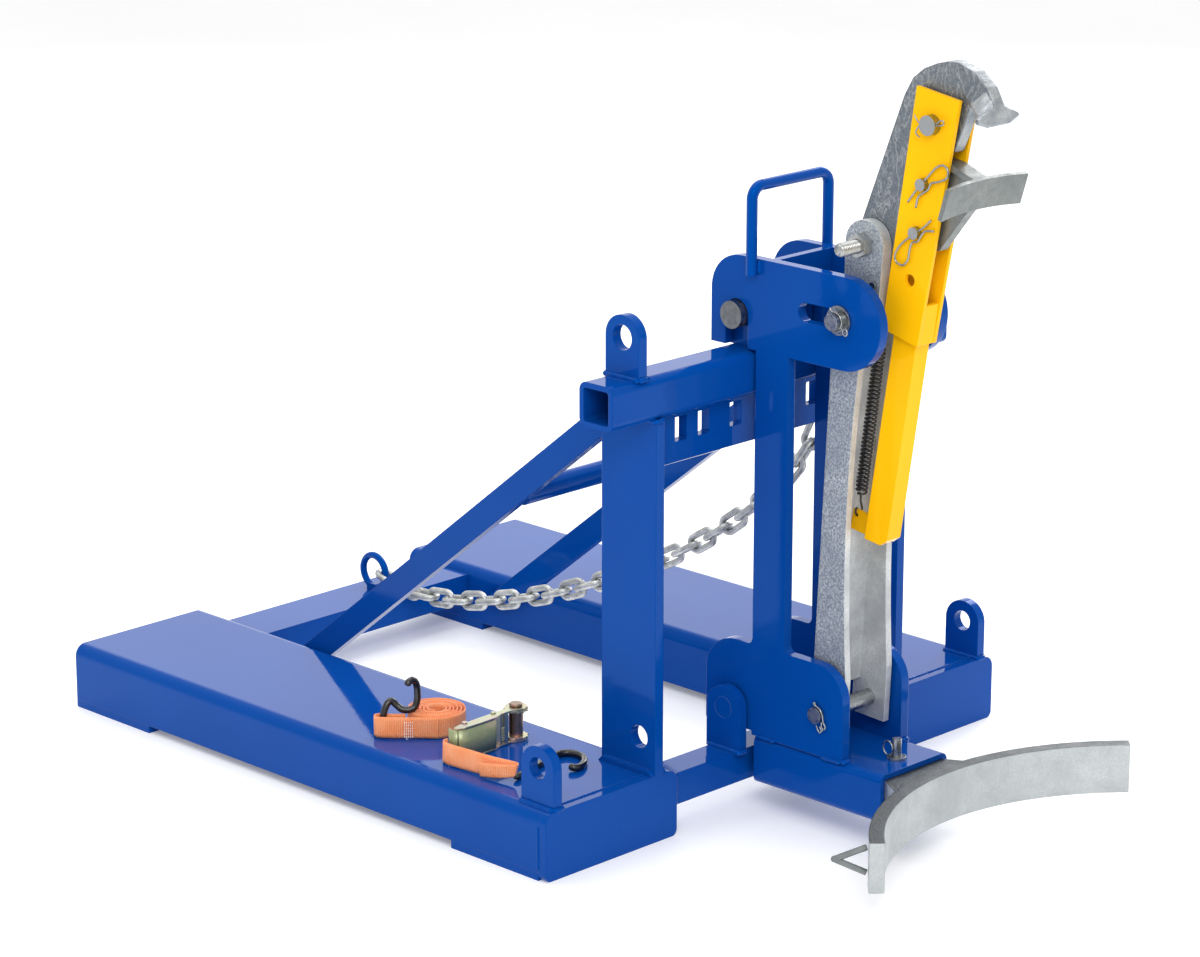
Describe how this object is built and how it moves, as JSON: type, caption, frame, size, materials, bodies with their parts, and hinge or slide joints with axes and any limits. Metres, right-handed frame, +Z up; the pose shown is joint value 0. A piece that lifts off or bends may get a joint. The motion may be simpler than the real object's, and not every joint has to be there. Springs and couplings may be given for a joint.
{
  "type": "drum lifter",
  "caption": "Fork-mounted drum lifter with a lift-off carriage, a parrot-beak clamp on a pivoting arm and a curved bumper, with a loose ratchet strap.",
  "frame": {"origin": "under the middle of the machine at floor level: on the middle plane, halfway between the pockets' rear ends and the tips of the bumper", "axes": "+Z up, -Y towards the drum, forks enter from +Y, +X to the pocket without the strap"},
  "size_m": [0.768, 1.1686, 0.8936],
  "materials": {
    "blue_paint": "gloss powder coat",
    "yellow_paint": "gloss powder coat",
    "galvanised": "hot-dip galvanised, mottled",
    "zinc_steel": "bright zinc plate",
    "passivated_zinc": "yellow passivated zinc",
    "black_steel": "black coated",
    "webbing": "woven webbing"
  },
  "bodies": {
    "base": {"left_fork_pocket": "blue_paint", "right_fork_pocket": "blue_paint", "left_pocket_end": "blue_paint", "right_pocket_end": "blue_paint", "front_straps": "blue_paint", "rear_straps": "blue_paint", "front_cross_tube": "blue_paint", "rear_cross_tube": "blue_paint", "left_upright": "blue_paint", "right_upright": "blue_paint", "left_brace": "blue_paint", "right_brace": "blue_paint", "brace_tie": "blue_paint", "top_tube": "blue_paint", "left_lifting_lug": "blue_paint", "right_lifting_lug": "blue_paint", "slotted_plate": "blue_paint", "upper_saddles": "blue_paint", "upper_hanger_bar": "blue_paint", "lower_lugs": "blue_paint", "lower_hanger_bar": "blue_paint", "left_front_lug": "blue_paint", "right_front_lug": "blue_paint", "chain_anchor": "blue_paint", "safety_chain": "galvanised"},
    "carriage": {"left_side_plate": "blue_paint", "right_side_plate": "blue_paint", "carriage_web": "blue_paint", "carriage_handle": "blue_paint", "foot_tube": "blue_paint", "bumper": "galvanised", "strap_eyes": "galvanised", "drop_pin": "zinc_steel", "drop_pin_washer": "zinc_steel", "arm_pivot_pin": "zinc_steel"},
    "arm": {"arm": "galvanised", "guide_pin": "zinc_steel", "guide_washers": "zinc_steel", "beak_stud": "zinc_steel", "stud_nuts": "zinc_steel", "spring_pin": "zinc_steel", "return_spring": "black_steel"},
    "beak": {"beak": "galvanised"},
    "lever": {"top_pin": "zinc_steel", "lever_plates": "yellow_paint", "lever_web": "yellow_paint", "lever_channel": "yellow_paint", "lower_jaw": "galvanised", "jaw_pins": "zinc_steel"},
    "strap_set": {"strap_roll": "webbing", "strap_tail": "webbing", "strap_hooks": "black_steel", "ratchet_frame": "passivated_zinc", "ratchet_handle": "passivated_zinc", "ratchet_drum": "passivated_zinc"}
  },
  "joints": [
    {"name": "carriage_lift", "type": "slide", "parent": "base", "child": "carriage", "axis": [0, 0, 1], "range_m": [0, 0.07]},
    {"name": "arm_tilt", "type": "hinge", "parent": "carriage", "child": "arm", "pos_m": [0, -0.3477, 0.14], "axis": [-1, 0, 0], "range_deg": [0, 6]},
    {"name": "beak_swing", "type": "hinge", "parent": "arm", "child": "beak", "pos_m": [0, -0.37512, 0.68131], "axis": [-1, 0, 0], "range_deg": [0, 24], "deforming": ["return_spring"]},
    {"name": "lever_swing", "type": "hinge", "parent": "beak", "child": "lever", "pos_m": [0, -0.46164, 0.82473], "axis": [-1, 0, 0], "range_deg": [0, 18], "stiffness_Nm_per_rad": 8, "springref_deg": -20.05, "deforming": ["return_spring"]},
    {"name": "strap_lift", "type": "slide", "parent": "base", "child": "strap_set", "axis": [0, 0, 1], "range_m": [0, 0.12]}
  ]
}
